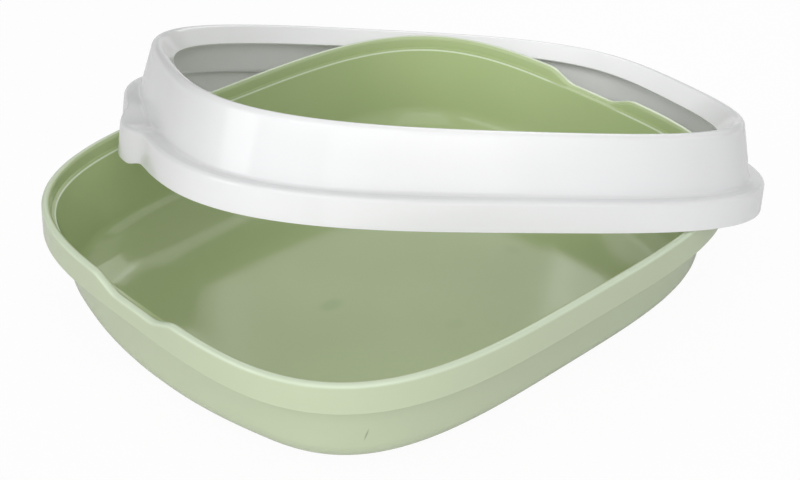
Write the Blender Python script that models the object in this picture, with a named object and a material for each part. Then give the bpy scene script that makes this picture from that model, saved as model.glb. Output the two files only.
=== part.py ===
"""Cat litter box: an open pan, and the guard rim that fits over its lip.

The rim is lifted off and leans on the pan, as when the box is being emptied:
its skirt lies across the pan's lip in two places and its far edge stands on
the floor behind. Metres, +Z up, X along the pan, origin at the middle of the
pan's flat base.
"""
import math

import bmesh
import bpy
import numpy as np
from mathutils import Matrix, Vector

# Plan of the pan's lip, a rounded oblong that both pieces follow
PAN_LENGTH = 0.480
PAN_WIDTH = 0.4225
PLAN_POWER = 3.47

# Pan: wall, lip, the ledge just inside the lip, and the round at the foot of the wall
PAN_HEIGHT = 0.0965
PAN_WALL = 0.0022
LIP_WIDTH = 0.0064
LIP_ROUND = 0.0016
LIP_SKIRT_DEPTH = 0.0223
LIP_SKIRT_FLARE = 0.0012
LEDGE_DEPTH = 0.0102
LEDGE_WIDTH = 0.0034
LEDGE_FALL = 0.0006
WALL_DRAFT = 0.0084
FOOT_ROUND_WIDTH = 0.074
FOOT_ROUND_HEIGHT = 0.0366

# Short ends: the pan's wall bows outwards below its ledge, and the rim's skirt reaches lower
END_HALF_LENGTH = 0.115
WALL_END_BOW = 0.0078
SKIRT_END_SAG = 0.0030

# Hand dip in the lip at the middle of each short end
DIP_DEPTH = 0.0084
DIP_HALF_LENGTH = 0.048
DIP_HALF_FLAT = 0.019

# Rim: skirt over the pan's lip, shelf, wall, rolled top and the flange inside it
RIM_WALL = 0.0022
RIM_CLEARANCE = 0.0012
RIM_SKIRT_DEPTH = 0.0225
RIM_SKIRT_DRAFT = 0.0006
SHELF_WIDTH = 0.0127
SHELF_ROUND = 0.0036
FOOT_FILLET = 0.0032
RIM_HEIGHT = 0.0437
RIM_WALL_DRAFT = 0.0059
TOP_ROUND = 0.0042
TOP_CORNER_INSET = 0.0038
FLANGE_LENGTH = 0.0172
FLANGE_SLOPE = math.radians(46.0)

# Round lobe of the rim's skirt over each dip, as a grip for the hand
LOBE_FLARE = 0.0100

# Leaning rim: where its middle lies, its turn, and the gap kept where it touches
RIM_SHIFT_X = 0.0862
RIM_SHIFT_Y = 0.0386
RIM_TURN = math.radians(-28.0)
TOUCH_GAP = 0.0004

# Fineness of the meshes
QUARTER_STEPS = 22
QUARTER_SAMPLES = 720
DIP_STEP_SHARE = 0.9
FOOT_STEPS = 6
FACET_SAMPLES = 24
SOLVER_STEPS = 24
LARGEST_TILT_STEP = 0.08
NUDGE_ANGLE = 1e-5
SMOOTH_ANGLE = math.radians(32.0)

# Colours
PAN_GREEN = (0.47, 0.58, 0.36, 1.0)
RIM_WHITE = (0.86, 0.87, 0.88, 1.0)


def clear_scene():
    for item in list(bpy.data.objects):
        bpy.data.objects.remove(item, do_unlink=True)


def plastic(name, colour, roughness):
    """Moulded plastic with a plain gloss."""
    material = bpy.data.materials.new(name)
    material.use_nodes = True
    shader = material.node_tree.nodes["Principled BSDF"]
    shader.inputs["Base Color"].default_value = colour
    shader.inputs["Roughness"].default_value = roughness
    shader.inputs["Metallic"].default_value = 0.0
    material.diffuse_color = colour
    return material


def plan_point(turn):
    """Point of the lip's outline whose outward normal points along turn, and that normal."""
    half_length = PAN_LENGTH / 2
    half_width = PAN_WIDTH / 2
    normal_x = math.cos(turn)
    normal_y = math.sin(turn)
    along = half_length * abs(normal_x)
    across = half_width * abs(normal_y)
    power = PLAN_POWER / (PLAN_POWER - 1)
    root = 1 / (PLAN_POWER - 1)
    spread = (along ** power + across ** power) ** (-1 / PLAN_POWER)
    point_x = math.copysign(half_length * spread * along ** root, normal_x)
    point_y = math.copysign(half_width * spread * across ** root, normal_y)
    return point_x, point_y, normal_x, normal_y


def dip_share(point_x, point_y):
    """1 over the level middle of a dip, falling smoothly to 0 at its two ends."""
    if abs(point_x) < PAN_LENGTH / 4:
        return 0.0
    rise = (DIP_HALF_LENGTH - abs(point_y)) / (DIP_HALF_LENGTH - DIP_HALF_FLAT)
    rise = min(max(rise, 0.0), 1.0)
    return rise * rise * (3 - 2 * rise)


def end_share(point_x, point_y):
    """1 at the middle of a short end, falling smoothly to 0 towards its corners."""
    if abs(point_x) < PAN_LENGTH / 4:
        return 0.0
    reach = min(abs(point_y) / END_HALF_LENGTH, 1.0)
    return (1 - reach * reach) ** 2


def corner_share(point_x, point_y):
    """1 at the corners, falling smoothly to 0 at the middle of each side."""
    corner = 2 ** (-2 / PLAN_POWER) * PAN_LENGTH / 2 * PAN_WIDTH / 2
    return (point_x * point_y / corner) ** 2


def quarter_turns():
    """Normal directions from an end's middle to a side's, closest in the dip and the corner."""
    turns = []
    for k in range(QUARTER_SAMPLES + 1):
        share = k / QUARTER_SAMPLES
        turns.append(math.pi / 2 * share * share * (3 - 2 * share))
    travelled = [0.0]
    for before, after in zip(turns, turns[1:]):
        start = plan_point(before)
        step = math.dist(start[:2], plan_point(after)[:2])
        measure = step / (PAN_LENGTH / 2) + (after - before) / (math.pi / 2)
        if start[1] < DIP_HALF_LENGTH:
            measure += DIP_STEP_SHARE * step / DIP_HALF_LENGTH
        travelled.append(travelled[-1] + measure)
    stops = np.linspace(0.0, travelled[-1], QUARTER_STEPS + 1)
    return [float(turn) for turn in np.interp(stops, travelled, turns)]


def plan_stations():
    """Stations round the plan: x, y, normal x, normal y, dip, end and corner share."""
    quarter = quarter_turns()
    forward = quarter[:-1]
    backward = quarter[:0:-1]
    turns = forward + [math.pi - turn for turn in backward]
    turns += [math.pi + turn for turn in turns]
    stations = []
    for turn in turns:
        point = plan_point(turn)
        x, y = point[:2]
        stations.append((*point, dip_share(x, y), end_share(x, y), corner_share(x, y)))
    return stations


def arc(centre_offset, centre_height, radius_out, radius_up, start, end, steps):
    """Points of a round in the section, from the angle start to the angle end."""
    points = []
    for k in range(steps + 1):
        angle = start + (end - start) * k / steps
        offset = centre_offset + radius_out * math.cos(angle)
        height = centre_height + radius_up * math.sin(angle)
        points.append((offset, height))
    return points


def rows_of(points, drop=0.0, flare=0.0, bow=0.0, sag=0.0, inset=0.0):
    """Section rows: points, then drop and flare in a dip, bow and sag of an end, corner inset."""
    return [(offset, height, drop, flare, bow, sag, inset) for offset, height in points]


def lip_top():
    """Round top of the pan's lip, from its outer edge to its inner edge."""
    quarter = math.pi / 2
    height = PAN_HEIGHT - LIP_ROUND
    outer = arc(-LIP_ROUND, height, LIP_ROUND, LIP_ROUND, 0.0, quarter, 2)
    inner = arc(LIP_ROUND - LIP_WIDTH, height, LIP_ROUND, LIP_ROUND, quarter, 2 * quarter, 2)
    return outer + inner


def pan_section():
    """Pan's section: up the outside, down behind the skirt, over the lip, down to the floor."""
    quarter = math.pi / 2
    lip_inside = -LIP_WIDTH
    ledge = PAN_HEIGHT - LEDGE_DEPTH
    ledge_inside = lip_inside - LEDGE_WIDTH
    wall_foot = ledge_inside + PAN_WALL - WALL_DRAFT
    round_centre = wall_foot - FOOT_ROUND_WIDTH
    under_ledge = ledge - PAN_WALL
    under_lip = PAN_HEIGHT - PAN_WALL
    skirt_end = PAN_HEIGHT - LIP_SKIRT_DEPTH
    inner_width = FOOT_ROUND_WIDTH - PAN_WALL
    inner_height = FOOT_ROUND_HEIGHT - PAN_WALL
    rows = rows_of(arc(round_centre, FOOT_ROUND_HEIGHT, FOOT_ROUND_WIDTH, FOOT_ROUND_HEIGHT,
                       -quarter, 0.0, FOOT_STEPS), bow=WALL_END_BOW)
    rows += rows_of([(ledge_inside + PAN_WALL, under_ledge - LEDGE_FALL),
                     (lip_inside + PAN_WALL, under_ledge)])
    rows += rows_of([(lip_inside + PAN_WALL, under_lip),
                     (-PAN_WALL, under_lip),
                     (LIP_SKIRT_FLARE - PAN_WALL, skirt_end),
                     (LIP_SKIRT_FLARE, skirt_end)], drop=DIP_DEPTH)
    rows += rows_of(lip_top(), drop=DIP_DEPTH)
    rows += rows_of([(lip_inside, ledge), (ledge_inside, ledge - LEDGE_FALL)])
    rows += rows_of(arc(round_centre, FOOT_ROUND_HEIGHT, inner_width, inner_height,
                        0.0, -quarter, FOOT_STEPS), bow=WALL_END_BOW)
    return rows


def skirt_bottom():
    """Offset of the outer face of the rim's skirt at its lower edge."""
    return LIP_SKIRT_FLARE + RIM_CLEARANCE + RIM_WALL


def rim_section():
    """Rim's section, a closed loop with height 0 at the top of the shelf."""
    quarter = math.pi / 2
    skirt_top = skirt_bottom() - RIM_SKIRT_DRAFT
    foot = skirt_top - SHELF_WIDTH
    crest = foot - RIM_WALL_DRAFT - TOP_ROUND
    roll_height = RIM_HEIGHT - TOP_ROUND
    roll_end = quarter + FLANGE_SLOPE
    roll = arc(crest, roll_height, TOP_ROUND, TOP_ROUND, 0.0, roll_end, 4)
    inner_radius = TOP_ROUND - RIM_WALL
    inner_roll = arc(crest, roll_height, inner_radius, inner_radius, roll_end, 0.0, 3)
    tip_offset = roll[-1][0] - FLANGE_LENGTH * math.cos(FLANGE_SLOPE)
    tip_height = roll[-1][1] - FLANGE_LENGTH * math.sin(FLANGE_SLOPE)
    under_tip = (tip_offset + RIM_WALL * math.sin(FLANGE_SLOPE),
                 tip_height - RIM_WALL * math.cos(FLANGE_SLOPE))
    fillet_centre = foot + FOOT_FILLET
    outer_fillet = FOOT_FILLET + RIM_WALL
    shelf_edge = skirt_top - SHELF_ROUND
    outer_round = arc(shelf_edge, -SHELF_ROUND, SHELF_ROUND, SHELF_ROUND, 0.0, quarter, 2)
    inner_round = [(shelf_edge, -RIM_WALL), (skirt_top - RIM_WALL, -SHELF_ROUND)]
    outer_foot = arc(fillet_centre, FOOT_FILLET, FOOT_FILLET, FOOT_FILLET,
                     -quarter, -2 * quarter, 2)
    inner_foot = arc(fillet_centre, FOOT_FILLET, outer_fillet, outer_fillet,
                     -2 * quarter, -quarter, 2)
    top = roll + [(tip_offset, tip_height), under_tip] + inner_roll
    skirt_drop = DIP_DEPTH - SKIRT_END_SAG
    rows = rows_of([(skirt_bottom(), -RIM_SKIRT_DEPTH)],
                   drop=skirt_drop, flare=LOBE_FLARE, sag=SKIRT_END_SAG)
    rows += rows_of(outer_round, drop=DIP_DEPTH, flare=LOBE_FLARE)
    rows += rows_of(outer_foot, drop=DIP_DEPTH)
    rows += rows_of(top, inset=TOP_CORNER_INSET)
    rows += rows_of(inner_foot, drop=DIP_DEPTH)
    rows += rows_of(inner_round, drop=DIP_DEPTH, flare=LOBE_FLARE)
    rows += rows_of([(skirt_bottom() - RIM_WALL, -RIM_SKIRT_DEPTH)],
                    drop=skirt_drop, flare=LOBE_FLARE, sag=SKIRT_END_SAG)
    return rows


def ring_points(stations, row):
    """One row of a section carried round the plan."""
    offset, height, drop, flare, bow, sag, inset = row
    points = []
    for x, y, normal_x, normal_y, dip, end, corner in stations:
        out = offset + flare * dip + bow * end - inset * corner
        up = height - drop * dip - sag * end
        points.append(Vector((x + normal_x * out, y + normal_y * out, up)))
    return points


def loft(name, section, material, closed):
    """Solid of a section carried round the plan, closed on itself or capped by two floors."""
    stations = plan_stations()
    shell = bmesh.new()
    rings = []
    for row in section:
        rings.append([shell.verts.new(point) for point in ring_points(stations, row)])
    pairs = list(zip(rings, rings[1:]))
    if closed:
        pairs.append((rings[-1], rings[0]))
    else:
        shell.faces.new(reversed(rings[0]))
        shell.faces.new(rings[-1])
    for lower, upper in pairs:
        for k in range(len(stations)):
            after = (k + 1) % len(stations)
            shell.faces.new((lower[k], lower[after], upper[after], upper[k]))
    mesh = bpy.data.meshes.new(name)
    shell.to_mesh(mesh)
    shell.free()
    mesh.shade_smooth()
    mesh.set_sharp_from_angle(angle=SMOOTH_ANGLE)
    mesh.materials.append(material)
    piece = bpy.data.objects.new(name, mesh)
    bpy.context.scene.collection.objects.link(piece)
    return piece


def skirt_edge_points():
    """Close points along the lower edges of the rim's skirt, in the rim's own frame."""
    section = rim_section()
    stations = plan_stations()
    samples = []
    for row in (section[0], section[-1]):
        ring = ring_points(stations, row)
        for start, end in zip(ring, ring[1:] + ring[:1]):
            samples += [start.lerp(end, k / FACET_SAMPLES) for k in range(FACET_SAMPLES)]
    return np.array(samples)


def plan_offset(x, y):
    """Distance of points outside the lip's outline, negative inside it, exact near the outline."""
    share_x = np.abs(x) / (PAN_LENGTH / 2)
    share_y = np.abs(y) / (PAN_WIDTH / 2)
    reach = (share_x ** PLAN_POWER + share_y ** PLAN_POWER) ** (1 / PLAN_POWER)
    slope_x = (share_x / reach) ** (PLAN_POWER - 1) / (PAN_LENGTH / 2)
    slope_y = (share_y / reach) ** (PLAN_POWER - 1) / (PAN_WIDTH / 2)
    return (reach - 1) / np.hypot(slope_x, slope_y)


def rim_matrix(tilt_x, tilt_y, height):
    turned = Matrix.Rotation(RIM_TURN, 4, "Z")
    tilted = Matrix.Rotation(tilt_y, 4, "Y") @ Matrix.Rotation(tilt_x, 4, "X")
    return Matrix.Translation((RIM_SHIFT_X, RIM_SHIFT_Y, height)) @ turned @ tilted


def touch_heights(edge_points, pose):
    """Heights of the rim's skirt over the lip on each side, and over the floor."""
    matrix = np.array(rim_matrix(*pose))
    points = edge_points @ matrix[:3, :3].T + matrix[:3, 3]
    outside = plan_offset(points[:, 0], points[:, 1])
    lip = [(LIP_SKIRT_FLARE, PAN_HEIGHT - LIP_SKIRT_DEPTH)] + lip_top()
    lip_offsets, lip_heights = zip(*reversed(lip))
    over_lip = (outside > lip_offsets[0]) & (outside < lip_offsets[-1])
    heights = points[:, 2] - np.interp(outside, lip_offsets, lip_heights)
    left = RIM_SHIFT_X * points[:, 1] > RIM_SHIFT_Y * points[:, 0]
    return np.array([heights[over_lip & left].min(),
                     heights[over_lip & ~left].min(),
                     points[:, 2].min()])


def leaning_pose():
    """Tilt about X, tilt about Y and height at which the rim rests on lip, lip and floor."""
    edge_points = skirt_edge_points()
    fall = math.atan2(RIM_SHIFT_Y, RIM_SHIFT_X) - RIM_TURN
    slope = PAN_HEIGHT / PAN_LENGTH
    pose = np.array([-slope * math.sin(fall), slope * math.cos(fall), PAN_HEIGHT])
    nudges = np.array([NUDGE_ANGLE, NUDGE_ANGLE, NUDGE_ANGLE * PAN_LENGTH])
    for _ in range(SOLVER_STEPS):
        error = touch_heights(edge_points, pose) - TOUCH_GAP
        slopes = np.zeros((3, 3))
        for k in range(3):
            moved = pose.copy()
            moved[k] += nudges[k]
            slopes[:, k] = (touch_heights(edge_points, moved) - TOUCH_GAP - error) / nudges[k]
        step = np.linalg.solve(slopes, -error)
        longest = np.abs(step / nudges).max() * NUDGE_ANGLE / LARGEST_TILT_STEP
        pose = pose + step / max(longest, 1.0)
    return pose


def build():
    clear_scene()
    loft("pan", pan_section(), plastic("pan_plastic", PAN_GREEN, 0.22), closed=False)
    rim = loft("rim", rim_section(), plastic("rim_plastic", RIM_WHITE, 0.2), closed=True)
    rim.matrix_world = rim_matrix(*leaning_pose())


build()
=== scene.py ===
import collections
import math

import bmesh
import bpy
import numpy as np
from mathutils import Matrix, Vector


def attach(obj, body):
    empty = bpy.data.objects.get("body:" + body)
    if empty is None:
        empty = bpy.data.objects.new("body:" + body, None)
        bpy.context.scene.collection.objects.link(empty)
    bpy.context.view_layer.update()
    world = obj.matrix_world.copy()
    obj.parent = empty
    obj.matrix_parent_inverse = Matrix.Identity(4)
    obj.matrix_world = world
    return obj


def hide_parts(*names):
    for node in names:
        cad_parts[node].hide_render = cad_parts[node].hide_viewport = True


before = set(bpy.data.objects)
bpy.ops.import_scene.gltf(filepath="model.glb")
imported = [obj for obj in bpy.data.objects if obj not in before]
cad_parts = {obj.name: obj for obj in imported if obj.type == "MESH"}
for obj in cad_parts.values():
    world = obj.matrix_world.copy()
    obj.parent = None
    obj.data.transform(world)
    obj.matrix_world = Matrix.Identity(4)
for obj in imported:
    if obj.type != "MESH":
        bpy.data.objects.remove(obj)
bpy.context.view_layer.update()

# Plan of the pan's lip, a rounded oblong that both pieces follow
PAN_LENGTH = 0.480
PAN_WIDTH = 0.4225
PLAN_POWER = 3.47

# Pan
PAN_HEIGHT = 0.0965
PAN_WALL = 0.0022
LIP_WIDTH = 0.0064
LIP_ROUND = 0.0028
LIP_SKIRT_DEPTH = 0.0223
LIP_SKIRT_FLARE = 0.0012
LEDGE_DEPTH = 0.0102
LEDGE_WIDTH = 0.0034
LEDGE_FALL = 0.0006
WALL_DRAFT = 0.0084
FOOT_ROUND_WIDTH = 0.074
FOOT_ROUND_HEIGHT = 0.0366

# Short ends: the pan's wall bows outwards below its ledge, and the rim's skirt reaches lower
END_HALF_LENGTH = 0.115
WALL_END_BOW = 0.0078
SKIRT_END_SAG = 0.0030

# Hand dip in the lip at the middle of each short end
DIP_DEPTH = 0.0084
DIP_HALF_LENGTH = 0.048
DIP_HALF_FLAT = 0.019

# Rim
RIM_WALL = 0.0022
RIM_CLEARANCE = 0.0012
RIM_SKIRT_DEPTH = 0.0225
RIM_SKIRT_DRAFT = 0.0006
SHELF_WIDTH = 0.0127
SHELF_ROUND = 0.0036
FOOT_FILLET = 0.0032
RIM_HEIGHT = 0.0437
RIM_WALL_DRAFT = 0.0059
TOP_ROUND = 0.0052
FLANGE_LENGTH = 0.0155
FLANGE_SLOPE = math.radians(49.7)

# Corners of the rim's top: all are drawn in, and one stands a little higher.
# The higher part starts at a share of half the width past the middle of the short end.
TOP_CORNER_INSET = 0.0038
TOP_CORNER_LIFT = 0.0022
LIFT_START = 0.35

# Round lobe of the rim's skirt over each dip
LOBE_FLARE = 0.0100
LOBE_HALF_LENGTH = 0.056
LOBE_SINK = 0.0044
LOBE_DIP_HALF_LENGTH = 0.049
LOBE_DIP_HALF_FLAT = 0.020

# Rounding of a section's sharp corners: its reach along the two sides, at most a share of each,
# and how much further out the rows lie that hold it. A corner whose bend has a cosine under
# SMOOTH_BEND belongs to a round already.
EDGE_ROUND = 0.0007
EDGE_SIDE_SHARE = 0.3
EDGE_HOLD = 1.6
EDGE_STEPS = 4
SMOOTH_BEND = -0.94

# Fineness of the meshes
QUARTER_STEPS = 72
QUARTER_SAMPLES = 2880
DIP_STEP_SHARE = 0.9
ROUND_STEPS = 8
FOOT_STEPS = 20
FLOOR_RINGS = 24

# Painted light, kept as a tone on the mesh: 0 inside, 1 outside, where a paler green is painted
# sheen, and 2 for the palest painted highlight. The lip's tones, its painted highlight, run over
# the steps of its round top, from its outer edge to its inner edge.
OUTSIDE_SHEEN_TONE = 1.0
LIP_HIGHLIGHT_STEPS = (0, 3, 9, 12)
LIP_HIGHLIGHT_TONES = (1.0, 1.65, 1.4, 0.15)

# Painted highlight line along the ledge, and how much of it a dip takes away
LEDGE_HIGHLIGHT_TONE = 1.42
DIP_HIGHLIGHT_LOSS = 0.9

# Colours
PAN_INSIDE = (0.42, 0.507, 0.268, 1.0)
PAN_INSIDE_SHADE = (0.40, 0.487, 0.246, 1.0)
# Painted sheen: the pan's outside painted a paler green than its inside
PAN_OUTSIDE_SHEEN = (0.535, 0.603, 0.42, 1.0)
# Painted highlight on the lip's top and along the ledge
PAN_PAINTED_HIGHLIGHT = (0.74, 0.85, 0.67, 1.0)
STAIN = (0.30, 0.40, 0.20, 1.0)
SCRATCH = (0.25, 0.30, 0.20, 1.0)
RIM_WHITE = (0.86, 0.865, 0.87, 1.0)
RIM_WHITE_SHADE = (0.845, 0.85, 0.85, 1.0)
FLOOR_GREY = (0.85, 0.85, 0.85, 1.0)
WHITE = (1.0, 1.0, 1.0, 1.0)

# Marks on the pan, three stains on its floor and a scratch low on its outside:
# middle, turn, half sizes, colour and strength of each
UPRIGHT = (0.0, 0.0, 0.0)
ALONG_SCRATCH = (-1.939, 1.251, 1.950)
PAN_MARKS = (
    ((-0.0575, 0.0045, PAN_WALL), UPRIGHT, (0.015, 0.010, 0.010), STAIN, 0.45),
    ((0.105, -0.037, PAN_WALL), UPRIGHT, (0.009, 0.012, 0.010), STAIN, 0.22),
    ((-0.004, -0.080, PAN_WALL), UPRIGHT, (0.012, 0.010, 0.010), STAIN, 0.15),
    ((-0.1767, -0.1696, 0.0444), ALONG_SCRATCH, (0.0075, 0.0009, 0.004), SCRATCH, 0.75),
)
MARK_CORE = 0.2

# Plastic: roughness of each piece, fineness of its ripple, and what the two have in common
PAN_ROUGHNESS = 0.11
PAN_RIPPLE_SCALE = 24.0
RIM_ROUGHNESS = 0.12
RIM_RIPPLE_SCALE = 20.0
PLASTIC_IOR = 1.49
DRIFT_SCALE = 7.0
DRIFT_RANGE = (0.35, 0.65)
HAZE_SCALE = 55.0
HAZE_RANGE = (0.8, 1.25)
RIPPLE_STRENGTH = 0.06
RIPPLE_DEPTH = 0.0006

# Floor and world: the floor lies a hair under the pan, and the camera sees it nearly white
FLOOR_SIZE = 12.0
FLOOR_DROP = 0.0004
FLOOR_WHITE_SHARE = 0.95
SOFT_LIGHT = 0.30

# Lamps: place, width and height, and watts of each
LAMPS = (
    ("front_panel", (-0.7, -1.6, 0.5), (1.3, 0.7), 3.0),
    ("right_panel", (1.3, -1.1, 0.8), (0.9, 0.9), 2.2),
    ("high_panel", (-0.65, -0.7, 1.53), (1.5, 1.5), 7.4),
    ("camera_panel", (-0.845, -0.912, 0.838), (0.8, 0.8), 3.0),
    ("left_panel", (-1.6, 0.6, 0.9), (1.0, 1.0), 4.8),
    ("low_left_panel", (-1.35, -0.6, 0.45), (0.8, 0.8), 3.7),
    ("top_panel", (0.3, 0.5, 1.9), (1.0, 1.0), 1.0),
    ("window_left", (0.763, 1.993, 1.35), (0.84, 1.5), 2.2),
    ("window_middle", (1.35, 1.45, 1.35), (0.84, 1.5), 4.4),
    ("window_right", (1.937, 0.907, 1.35), (0.84, 1.5), 8.4),
    ("side_panel", (2.35, -0.1, 1.35), (1.5, 1.5), 3.0),
)
LAMP_AIM = (0.05, 0.03, 0.06)

# Small lamp over the pan that lights the far inner wall of the rim, with a narrowed beam
FAR_WALL_LAMP = ("far_wall_panel", (-0.15, -0.12, 0.42), (0.2, 0.2), 0.15)
FAR_WALL_AIM = (0.30, 0.10, 0.11)
FAR_WALL_SPREAD = 0.95

# Lamps that the glossy plastic doesn't mirror
UNMIRRORED_LAMPS = ("camera_panel", "low_left_panel", "far_wall_panel")

# Camera, as the photograph saw the object
IMAGE_WIDTH = 800
IMAGE_HEIGHT = 480
CAMERA_AZIMUTH = -0.7462
CAMERA_ELEVATION = 0.5929
CAMERA_DISTANCE = 1.2143
CAMERA_NEAR = 0.05
CAMERA_FAR = 50.0
FOCAL_PIXELS = 1509.9
AXIS_PIXEL = (388.89, 281.74)

# A place on the lip's outline: its point and normal, and its share of each form
Station = collections.namedtuple("Station", "x y normal_x normal_y dip lobe end corner lift")


def plan_point(turn):
    """Point of the lip's outline whose outward normal points along turn, and that normal."""
    half_length = PAN_LENGTH / 2
    half_width = PAN_WIDTH / 2
    normal_x = math.cos(turn)
    normal_y = math.sin(turn)
    along = half_length * abs(normal_x)
    across = half_width * abs(normal_y)
    power = PLAN_POWER / (PLAN_POWER - 1)
    root = 1 / (PLAN_POWER - 1)
    spread = (along ** power + across ** power) ** (-1 / PLAN_POWER)
    point_x = math.copysign(half_length * spread * along ** root, normal_x)
    point_y = math.copysign(half_width * spread * across ** root, normal_y)
    return point_x, point_y, normal_x, normal_y


def smooth_rise(share):
    """0 to 1 as share goes from 0 to 1, level at both."""
    return share * share * (3 - 2 * share)


def clamped(share):
    """Share held between 0 and 1."""
    return min(max(share, 0.0), 1.0)


def on_short_end(point_x):
    """Whether a point of the outline is on one of the short ends or beside it."""
    return abs(point_x) >= PAN_LENGTH / 4


def dip_share(point_x, point_y, half_length, half_flat):
    """1 over the level middle of a dip, falling smoothly to 0 at its two ends."""
    if not on_short_end(point_x):
        return 0.0
    return smooth_rise(clamped((half_length - abs(point_y)) / (half_length - half_flat)))


def end_share(point_x, point_y, half_length):
    """1 at the middle of a short end, falling smoothly to 0 at half_length to each side."""
    if not on_short_end(point_x):
        return 0.0
    reach = min(abs(point_y) / half_length, 1.0)
    return (1 - reach * reach) ** 2


def corner_share(point_x, point_y):
    """1 at the corners, falling smoothly to 0 at the middle of each side."""
    corner = 2 ** (-2 / PLAN_POWER) * PAN_LENGTH / 2 * PAN_WIDTH / 2
    return (point_x * point_y / corner) ** 2


def lift_share(point_x, point_y):
    """1 at the corner of the rim's top that stands a little higher, falling smoothly to 0."""
    along = clamped(-point_x / (PAN_LENGTH / 2))
    across = clamped(LIFT_START - point_y / (PAN_WIDTH / 2))
    return along * along * smooth_rise(across)


def quarter_turns():
    """Normal directions from an end's middle to a side's, closest in the dip and the corner."""
    turns = [math.pi / 2 * smooth_rise(k / QUARTER_SAMPLES) for k in range(QUARTER_SAMPLES + 1)]
    travelled = [0.0]
    for before, after in zip(turns, turns[1:]):
        start = plan_point(before)
        step = math.dist(start[:2], plan_point(after)[:2])
        measure = step / (PAN_LENGTH / 2) + (after - before) / (math.pi / 2)
        if start[1] < DIP_HALF_LENGTH:
            measure += DIP_STEP_SHARE * step / DIP_HALF_LENGTH
        travelled.append(travelled[-1] + measure)
    stops = np.linspace(0.0, travelled[-1], QUARTER_STEPS + 1)
    return [float(turn) for turn in np.interp(stops, travelled, turns)]


def plan_stations(dip_half_length, dip_half_flat):
    """Stations round the plan, for a dip of the given half length and half level middle."""
    quarter = quarter_turns()
    turns = quarter[:-1] + [math.pi - turn for turn in quarter[:0:-1]]
    turns += [math.pi + turn for turn in turns]
    stations = []
    for turn in turns:
        x, y, normal_x, normal_y = plan_point(turn)
        stations.append(Station(
            x, y, normal_x, normal_y,
            dip=dip_share(x, y, dip_half_length, dip_half_flat),
            lobe=end_share(x, y, LOBE_HALF_LENGTH),
            end=end_share(x, y, END_HALF_LENGTH),
            corner=corner_share(x, y),
            lift=lift_share(x, y)))
    return stations


def arc(centre_offset, centre_height, radius_out, radius_up, start, end, steps):
    """Points of a round in the section, from the angle start to the angle end."""
    points = []
    for k in range(steps + 1):
        angle = start + (end - start) * k / steps
        offset = centre_offset + radius_out * math.cos(angle)
        height = centre_height + radius_up * math.sin(angle)
        points.append((offset, height))
    return points


def rows_of(points, drop=0.0, flare=0.0, sink=0.0, bow=0.0, sag=0.0,
            inset=0.0, lift=0.0, painted_light=0.0):
    """Section rows: points, drop in a dip, flare and sink of a lobe, bow and sag of an end,
    inset and lift of the top's corners, and last the painted light tone."""
    return [np.array((offset, height, drop, flare, sink, bow, sag, inset, lift, painted_light))
            for offset, height in points]


def rounded_corner(before, row, after):
    """Rows that round the corner of a section at row, with one row beside each end to hold it."""
    to_before = before - row
    to_after = after - row
    cut_before = min(EDGE_ROUND / np.hypot(to_before[0], to_before[1]), EDGE_SIDE_SHARE)
    cut_after = min(EDGE_ROUND / np.hypot(to_after[0], to_after[1]), EDGE_SIDE_SHARE)
    start = row + to_before * cut_before
    end = row + to_after * cut_after
    rows = [row + to_before * cut_before * EDGE_HOLD]
    for step in range(EDGE_STEPS + 1):
        share = step / EDGE_STEPS
        rows.append((1 - share) ** 2 * start + 2 * share * (1 - share) * row + share ** 2 * end)
    rows.append(row + to_after * cut_after * EDGE_HOLD)
    painted_light = row[-1]
    for held in rows:
        held[-1] = painted_light
    # A painted highlight line ends at the holding rows, which take the inside tone
    if painted_light > OUTSIDE_SHEEN_TONE:
        rows[0][-1] = 0.0
        rows[-1][-1] = 0.0
    return rows


def softened(rows, closed):
    """The same section with each sharp corner rounded. A painted highlight line stays on its own
    round.
    """
    smooth = []
    for k, row in enumerate(rows):
        before = rows[k - 1]
        after = rows[(k + 1) % len(rows)]
        back = before[:2] - row[:2]
        ahead = after[:2] - row[:2]
        bend = np.dot(back, ahead) / (np.hypot(*back) * np.hypot(*ahead))
        at_end = not closed and k in (0, len(rows) - 1)
        if at_end or bend < SMOOTH_BEND:
            smooth.append(row)
        else:
            smooth += rounded_corner(before, row, after)
    return smooth


def lip_top():
    """Round top of the pan's lip, from its outer edge to its inner edge."""
    quarter = math.pi / 2
    height = PAN_HEIGHT - LIP_ROUND
    outer = arc(-LIP_ROUND, height, LIP_ROUND, LIP_ROUND, 0.0, quarter, ROUND_STEPS)
    inner = arc(LIP_ROUND - LIP_WIDTH, height, LIP_ROUND, LIP_ROUND,
                quarter, 2 * quarter, ROUND_STEPS)
    return outer + inner


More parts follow.
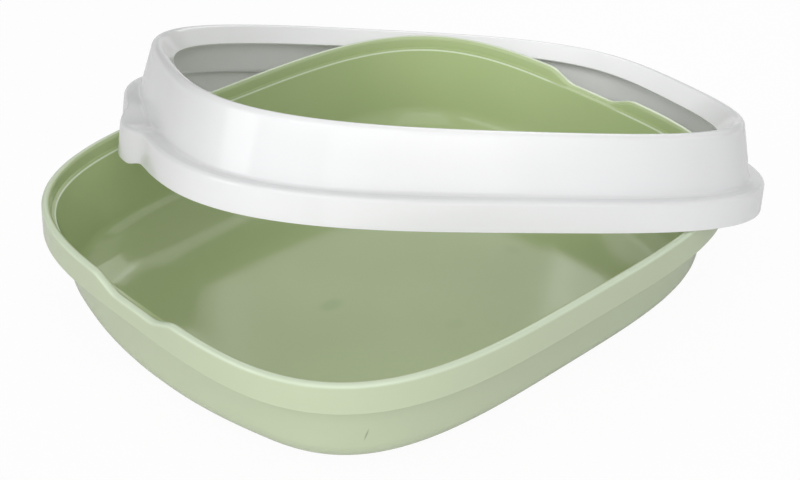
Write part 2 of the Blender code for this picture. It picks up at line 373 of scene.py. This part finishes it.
def pan_section():
    """Pan's section: up the outside, down behind the skirt, over the lip, down to the floor."""
    quarter = math.pi / 2
    lip_inside = -LIP_WIDTH
    ledge = PAN_HEIGHT - LEDGE_DEPTH
    ledge_inside = lip_inside - LEDGE_WIDTH
    wall_foot = ledge_inside + PAN_WALL - WALL_DRAFT
    round_centre = wall_foot - FOOT_ROUND_WIDTH
    under_ledge = ledge - PAN_WALL
    under_lip = PAN_HEIGHT - PAN_WALL
    skirt_end = PAN_HEIGHT - LIP_SKIRT_DEPTH
    outer_foot = arc(round_centre, FOOT_ROUND_HEIGHT, FOOT_ROUND_WIDTH, FOOT_ROUND_HEIGHT,
                     -quarter, 0.0, FOOT_STEPS)
    inner_foot = arc(round_centre, FOOT_ROUND_HEIGHT,
                     FOOT_ROUND_WIDTH - PAN_WALL, FOOT_ROUND_HEIGHT - PAN_WALL,
                     0.0, -quarter, FOOT_STEPS)
    # The outside faces take the paler painted sheen
    rows = rows_of(outer_foot, bow=WALL_END_BOW, painted_light=OUTSIDE_SHEEN_TONE)
    rows += rows_of([(ledge_inside + PAN_WALL, under_ledge - LEDGE_FALL),
                     (lip_inside + PAN_WALL, under_ledge)], painted_light=OUTSIDE_SHEEN_TONE)
    rows += rows_of([(lip_inside + PAN_WALL, under_lip), (-PAN_WALL, under_lip)],
                    drop=DIP_DEPTH, painted_light=OUTSIDE_SHEEN_TONE)
    rows += rows_of([(LIP_SKIRT_FLARE - PAN_WALL, skirt_end), (LIP_SKIRT_FLARE, skirt_end)],
                    painted_light=OUTSIDE_SHEEN_TONE)
    # Painted highlight over the lip's round top
    for step, point in enumerate(lip_top()):
        painted_light = float(np.interp(step, LIP_HIGHLIGHT_STEPS, LIP_HIGHLIGHT_TONES))
        rows += rows_of([point], drop=DIP_DEPTH, painted_light=painted_light)
    rows += rows_of([(lip_inside, ledge)])
    # Painted highlight line along the ledge
    rows += rows_of([(ledge_inside, ledge - LEDGE_FALL)], painted_light=LEDGE_HIGHLIGHT_TONE)
    rows += rows_of(inner_foot, bow=WALL_END_BOW)
    return rows


def skirt_bottom():
    """Offset of the outer face of the rim's skirt at its lower edge."""
    return LIP_SKIRT_FLARE + RIM_CLEARANCE + RIM_WALL


def rim_top(crest):
    """Rolled top and flange: over the roll, down to the flange's tip and back under the roll."""
    quarter = math.pi / 2
    roll_height = RIM_HEIGHT - TOP_ROUND
    roll_end = quarter + FLANGE_SLOPE
    inner_radius = TOP_ROUND - RIM_WALL
    roll = arc(crest, roll_height, TOP_ROUND, TOP_ROUND, 0.0, roll_end, 2 * ROUND_STEPS)
    inner_roll = arc(crest, roll_height, inner_radius, inner_radius, roll_end, 0.0, ROUND_STEPS)
    tip_offset = roll[-1][0] - FLANGE_LENGTH * math.cos(FLANGE_SLOPE)
    tip_height = roll[-1][1] - FLANGE_LENGTH * math.sin(FLANGE_SLOPE)
    under_tip = (tip_offset + RIM_WALL * math.sin(FLANGE_SLOPE),
                 tip_height - RIM_WALL * math.cos(FLANGE_SLOPE))
    return roll + [(tip_offset, tip_height), under_tip] + inner_roll


def rim_section():
    """Rim's section, a closed loop with height 0 at the top of the shelf."""
    quarter = math.pi / 2
    skirt_top = skirt_bottom() - RIM_SKIRT_DRAFT
    foot = skirt_top - SHELF_WIDTH
    shelf_edge = skirt_top - SHELF_ROUND
    outer_shelf = arc(shelf_edge, -SHELF_ROUND, SHELF_ROUND, SHELF_ROUND,
                      0.0, quarter, ROUND_STEPS)
    inner_shelf = [(shelf_edge, -RIM_WALL), (skirt_top - RIM_WALL, -SHELF_ROUND)]
    fillet_centre = foot + FOOT_FILLET
    under_fillet = FOOT_FILLET + RIM_WALL
    outer_foot = arc(fillet_centre, FOOT_FILLET, FOOT_FILLET, FOOT_FILLET,
                     -quarter, -2 * quarter, ROUND_STEPS)
    inner_foot = arc(fillet_centre, FOOT_FILLET, under_fillet, under_fillet,
                     -2 * quarter, -quarter, ROUND_STEPS)
    skirt_drop = DIP_DEPTH - SKIRT_END_SAG
    rows = rows_of([(skirt_bottom(), -RIM_SKIRT_DEPTH)],
                   drop=skirt_drop, flare=LOBE_FLARE, sag=SKIRT_END_SAG)
    rows += rows_of(outer_shelf, flare=LOBE_FLARE, sink=LOBE_SINK)
    rows += rows_of(outer_foot, sink=LOBE_SINK)
    rows += rows_of(rim_top(foot - RIM_WALL_DRAFT - TOP_ROUND),
                    inset=TOP_CORNER_INSET, lift=TOP_CORNER_LIFT)
    rows += rows_of(inner_foot, sink=LOBE_SINK)
    rows += rows_of(inner_shelf, flare=LOBE_FLARE, sink=LOBE_SINK)
    rows += rows_of([(skirt_bottom() - RIM_WALL, -RIM_SKIRT_DEPTH)],
                    drop=skirt_drop, flare=LOBE_FLARE, sag=SKIRT_END_SAG)
    return rows


def ring_points(stations, row):
    """One row of a section carried round the plan."""
    offset, height, drop, flare, sink, bow, sag, inset, lift = row[:-1]
    points = []
    for at in stations:
        out = offset + flare * at.lobe + bow * at.end - inset * at.corner
        up = height - drop * at.dip - sink * at.lobe - sag * at.end + lift * at.lift
        points.append(Vector((at.x + at.normal_x * out, at.y + at.normal_y * out, up)))
    return points


def floor_rings(ring):
    """Rings that fill a flat floor from its edge to one point short of its middle."""
    rings = []
    for k in range(1, FLOOR_RINGS):
        share = 1 - k / FLOOR_RINGS
        rings.append([Vector((point.x * share, point.y * share, point.z)) for point in ring])
    return rings


def add_ring(shell, painted_light_layer, points, painted_light, stations):
    """Corners of one ring, each with its painted light tone. A dip takes most of the ledge's
    painted highlight line away.
    """
    loss = DIP_HIGHLIGHT_LOSS if painted_light == LEDGE_HIGHLIGHT_TONE else 0.0
    ring = [shell.verts.new(point) for point in points]
    for corner, at in zip(ring, stations):
        corner[painted_light_layer] = painted_light * (1 - loss * at.dip)
    return ring


def close_floor(shell, painted_light_layer, ring, faces_up):
    """Fan that closes a floor's last ring round its middle."""
    middle = shell.verts.new(Vector((0.0, 0.0, ring[0].co.z)))
    middle[painted_light_layer] = ring[0][painted_light_layer]
    for k in range(len(ring)):
        corners = (ring[k], ring[(k + 1) % len(ring)], middle)
        shell.faces.new(corners if faces_up else corners[::-1])


def loft(name, section, stations, closed):
    """Solid of a section carried round the plan, closed on itself or filled by two floors."""
    points = [ring_points(stations, row) for row in section]
    painted_lights = [row[-1] for row in section]
    if not closed:
        points = floor_rings(points[0])[::-1] + points + floor_rings(points[-1])
        painted_lights = [painted_lights[0]] * (FLOOR_RINGS - 1) + painted_lights + [painted_lights[-1]] * (FLOOR_RINGS - 1)
    shell = bmesh.new()
    painted_light_layer = shell.verts.layers.float.new("painted_light")
    rings = [add_ring(shell, painted_light_layer, ring, painted_light, stations)
             for ring, painted_light in zip(points, painted_lights)]
    pairs = list(zip(rings, rings[1:]))
    if closed:
        pairs.append((rings[-1], rings[0]))
    for lower, upper in pairs:
        for k in range(len(stations)):
            after = (k + 1) % len(stations)
            shell.faces.new((lower[k], lower[after], upper[after], upper[k]))
    if not closed:
        close_floor(shell, painted_light_layer, rings[0], faces_up=False)
        close_floor(shell, painted_light_layer, rings[-1], faces_up=True)
    mesh = bpy.data.meshes.new(name)
    shell.to_mesh(mesh)
    shell.free()
    mesh.shade_smooth()
    piece = bpy.data.objects.new(name, mesh)
    bpy.context.scene.collection.objects.link(piece)
    return piece


def rim_place():
    """Matrix that puts the rim where its CAD solid leans, from that solid's own axes."""
    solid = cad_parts["rim"].data
    corners = {tuple(round(value, 6) for value in vertex.co) for vertex in solid.vertices}
    points = np.array(sorted(corners))
    middle = points.mean(axis=0)
    axes = np.linalg.eigh(np.cov((points - middle).T))[1]
    along = Vector(axes[:, 2])
    upright = Vector(axes[:, 0])
    if along.x < 0:
        along.negate()
    if upright.z < 0:
        upright.negate()
    across = upright.cross(along)
    lowest = ((points - middle) @ np.array(upright)).min()
    place = Vector(middle) + upright * (lowest + RIM_SKIRT_DEPTH + DIP_DEPTH)
    turned = Matrix((along, across, upright)).transposed().to_4x4()
    return Matrix.Translation(place) @ turned


def node(tree, kind, **values):
    """New shader node with its sockets set by name."""
    made = tree.nodes.new(kind)
    for key, value in values.items():
        made.inputs[key.replace("_", " ")].default_value = value
    return made


def covered(tree, colour, paint, share):
    """Colour with paint over it, as far as share says."""
    mix = tree.nodes.new("ShaderNodeMix")
    mix.data_type = "RGBA"
    mix.inputs["B"].default_value = paint
    tree.links.new(share, mix.inputs["Factor"])
    tree.links.new(colour, mix.inputs["A"])
    return mix.outputs["Result"]


def colour_by_painted_light(tree, inside, outside_sheen, highlight):
    """Colour by the painted light tone on the mesh: inside, then outside painted paler as sheen,
    then the painted highlight of the pale edges.
    """
    painted_light = tree.nodes.new("ShaderNodeAttribute")
    painted_light.attribute_name = "painted_light"
    colour = inside
    for start, paint in ((0.0, outside_sheen), (OUTSIDE_SHEEN_TONE, highlight)):
        blend = node(tree, "ShaderNodeMapRange", From_Min=start, From_Max=start + 1.0)
        tree.links.new(painted_light.outputs["Fac"], blend.inputs["Value"])
        colour = covered(tree, colour, paint, blend.outputs["Result"])
    return colour


def marked(tree, place, colour, marks):
    """Colour with faint stains and scratches, each a long or round spot at a known place."""
    for middle, turn, size, paint, strength in marks:
        spot = tree.nodes.new("ShaderNodeMapping")
        spot.vector_type = "TEXTURE"
        spot.inputs["Location"].default_value = middle
        spot.inputs["Rotation"].default_value = turn
        spot.inputs["Scale"].default_value = size
        tree.links.new(place.outputs["Object"], spot.inputs["Vector"])
        away = tree.nodes.new("ShaderNodeVectorMath")
        away.operation = "LENGTH"
        tree.links.new(spot.outputs["Vector"], away.inputs[0])
        fade = node(tree, "ShaderNodeMapRange", From_Min=1.0, From_Max=MARK_CORE, To_Max=strength)
        fade.interpolation_type = "SMOOTHSTEP"
        tree.links.new(away.outputs["Value"], fade.inputs["Value"])
        colour = covered(tree, colour, paint, fade.outputs["Result"])
    return colour


def noise(tree, place, scale, detail):
    """Noise over the object's own space."""
    made = node(tree, "ShaderNodeTexNoise", Scale=scale, Detail=detail)
    tree.links.new(place.outputs["Object"], made.inputs["Vector"])
    return made.outputs["Fac"]


def drifting_colour(tree, place, colour, shade):
    """Slow drift between a colour and its shade."""
    colours = tree.nodes.new("ShaderNodeValToRGB")
    for stop, position, value in zip(colours.color_ramp.elements, DRIFT_RANGE, (shade, colour)):
        stop.position = position
        stop.color = value
    tree.links.new(noise(tree, place, DRIFT_SCALE, 2.0), colours.inputs["Fac"])
    return colours.outputs["Color"]


def hazy_roughness(tree, place, roughness):
    """Roughness that varies a little, as a fine haze."""
    low, high = HAZE_RANGE
    gloss = node(tree, "ShaderNodeMapRange", To_Min=roughness * low, To_Max=roughness * high)
    tree.links.new(noise(tree, place, HAZE_SCALE, 3.0), gloss.inputs["Value"])
    return gloss.outputs["Result"]


def rippled_normal(tree, place, scale):
    """Normal with the faint ripple of a moulded face."""
    bump = node(tree, "ShaderNodeBump", Strength=RIPPLE_STRENGTH, Distance=RIPPLE_DEPTH)
    tree.links.new(noise(tree, place, scale, 2.0), bump.inputs["Height"])
    return bump.outputs["Normal"]


def moulded_plastic(name, colour, shade, roughness, ripple_scale, painted_light_colours=None, marks=()):
    """Glossy moulded plastic: a slow drift of colour, a faint ripple and a fine haze, with
    painted sheen and painted highlights where their colours are given.
    """
    material = bpy.data.materials.new(name)
    material.use_nodes = True
    tree = material.node_tree
    shader = tree.nodes["Principled BSDF"]
    place = tree.nodes.new("ShaderNodeTexCoord")
    base = drifting_colour(tree, place, colour, shade)
    if painted_light_colours:
        base = colour_by_painted_light(tree, base, *painted_light_colours)
    base = marked(tree, place, base, marks)
    tree.links.new(base, shader.inputs["Base Color"])
    tree.links.new(hazy_roughness(tree, place, roughness), shader.inputs["Roughness"])
    tree.links.new(rippled_normal(tree, place, ripple_scale), shader.inputs["Normal"])
    shader.inputs["IOR"].default_value = PLASTIC_IOR
    return material


def make_pan():
    """Pan, in place of its CAD solid."""
    stations = plan_stations(DIP_HALF_LENGTH, DIP_HALF_FLAT)
    pan = loft("pan_moulding", softened(pan_section(), closed=False), stations, closed=False)
    # The pan's outside is painted paler as sheen, and its lip and ledge carry painted highlight
    # lines
    pan.data.materials.append(moulded_plastic(
        "pan_plastic", PAN_INSIDE, PAN_INSIDE_SHADE, PAN_ROUGHNESS, PAN_RIPPLE_SCALE,
        painted_light_colours=(PAN_OUTSIDE_SHEEN, PAN_PAINTED_HIGHLIGHT), marks=PAN_MARKS))
    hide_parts("pan")
    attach(pan, "pan")


def make_rim():
    """Rim, in place of its CAD solid and leaning as it does."""
    stations = plan_stations(LOBE_DIP_HALF_LENGTH, LOBE_DIP_HALF_FLAT)
    rim = loft("rim_moulding", softened(rim_section(), closed=True), stations, closed=True)
    rim.data.transform(rim_place())
    rim.data.materials.append(moulded_plastic(
        "rim_plastic", RIM_WHITE, RIM_WHITE_SHADE, RIM_ROUGHNESS, RIM_RIPPLE_SCALE))
    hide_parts("rim")
    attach(rim, "rim")


def make_floor():
    """Pale floor, which the camera sees nearly white, with the object's shadow kept."""
    bpy.ops.mesh.primitive_plane_add(size=FLOOR_SIZE, location=(0.0, 0.0, -FLOOR_DROP))
    floor = bpy.context.object
    floor.name = "studio_floor"
    material = bpy.data.materials.new("studio_floor")
    material.use_nodes = True
    tree = material.node_tree
    tree.nodes.clear()
    lit = node(tree, "ShaderNodeBsdfDiffuse", Color=FLOOR_GREY)
    white = node(tree, "ShaderNodeEmission", Color=WHITE, Strength=1.0)
    path = tree.nodes.new("ShaderNodeLightPath")
    seen = tree.nodes.new("ShaderNodeMath")
    seen.operation = "MULTIPLY"
    seen.inputs[1].default_value = FLOOR_WHITE_SHARE
    tree.links.new(path.outputs["Is Camera Ray"], seen.inputs[0])
    mix = tree.nodes.new("ShaderNodeMixShader")
    tree.links.new(seen.outputs["Value"], mix.inputs["Fac"])
    tree.links.new(lit.outputs["BSDF"], mix.inputs[1])
    tree.links.new(white.outputs["Emission"], mix.inputs[2])
    output = tree.nodes.new("ShaderNodeOutputMaterial")
    tree.links.new(mix.outputs["Shader"], output.inputs["Surface"])
    floor.data.materials.append(material)


def make_world():
    """World that lights softly and that the camera sees white."""
    world = bpy.data.worlds.new("studio")
    world.use_nodes = True
    bpy.context.scene.world = world
    tree = world.node_tree
    tree.nodes.clear()
    soft = node(tree, "ShaderNodeBackground", Color=WHITE, Strength=SOFT_LIGHT)
    white = node(tree, "ShaderNodeBackground", Color=WHITE, Strength=1.0)
    path = tree.nodes.new("ShaderNodeLightPath")
    mix = tree.nodes.new("ShaderNodeMixShader")
    tree.links.new(path.outputs["Is Camera Ray"], mix.inputs["Fac"])
    tree.links.new(soft.outputs["Background"], mix.inputs[1])
    tree.links.new(white.outputs["Background"], mix.inputs[2])
    output = tree.nodes.new("ShaderNodeOutputWorld")
    tree.links.new(mix.outputs["Shader"], output.inputs["Surface"])


def make_lamp(name, place, size, power, aim):
    """Area lamp that points at aim and that the camera doesn't see."""
    lamp = bpy.data.lights.new(name, "AREA")
    lamp.shape = "RECTANGLE"
    lamp.size, lamp.size_y = size
    lamp.energy = power
    holder = bpy.data.objects.new(name, lamp)
    bpy.context.scene.collection.objects.link(holder)
    holder.location = place
    holder.rotation_euler = (Vector(aim) - Vector(place)).to_track_quat("-Z", "Y").to_euler()
    holder.visible_camera = False
    holder.visible_glossy = name not in UNMIRRORED_LAMPS
    return holder


def make_lamps():
    """Panels in front and above, windows behind, and the small lamp over the pan."""
    for lamp in LAMPS:
        make_lamp(*lamp, LAMP_AIM)
    far_wall = make_lamp(*FAR_WALL_LAMP, FAR_WALL_AIM)
    far_wall.data.spread = FAR_WALL_SPREAD


def make_camera():
    """Camera at the photograph's place, with its axis off the middle of the picture."""
    camera = bpy.data.cameras.new("camera")
    holder = bpy.data.objects.new("camera", camera)
    bpy.context.scene.collection.objects.link(holder)
    bpy.context.scene.camera = holder
    level = math.cos(CAMERA_ELEVATION)
    back = Vector((math.sin(CAMERA_AZIMUTH) * level, -math.cos(CAMERA_AZIMUTH) * level,
                   math.sin(CAMERA_ELEVATION)))
    holder.location = back * CAMERA_DISTANCE
    holder.rotation_mode = "QUATERNION"
    holder.rotation_quaternion = (-back).to_track_quat("-Z", "Y")
    camera.lens = FOCAL_PIXELS * camera.sensor_width / IMAGE_WIDTH
    camera.shift_x = (IMAGE_WIDTH / 2 - AXIS_PIXEL[0]) / IMAGE_WIDTH
    camera.shift_y = (AXIS_PIXEL[1] - IMAGE_HEIGHT / 2) / IMAGE_WIDTH
    camera.clip_start = CAMERA_NEAR
    camera.clip_end = CAMERA_FAR


make_camera()
make_pan()
make_rim()
make_floor()
make_world()
make_lamps()
bpy.context.scene.view_settings.view_transform = "Standard"
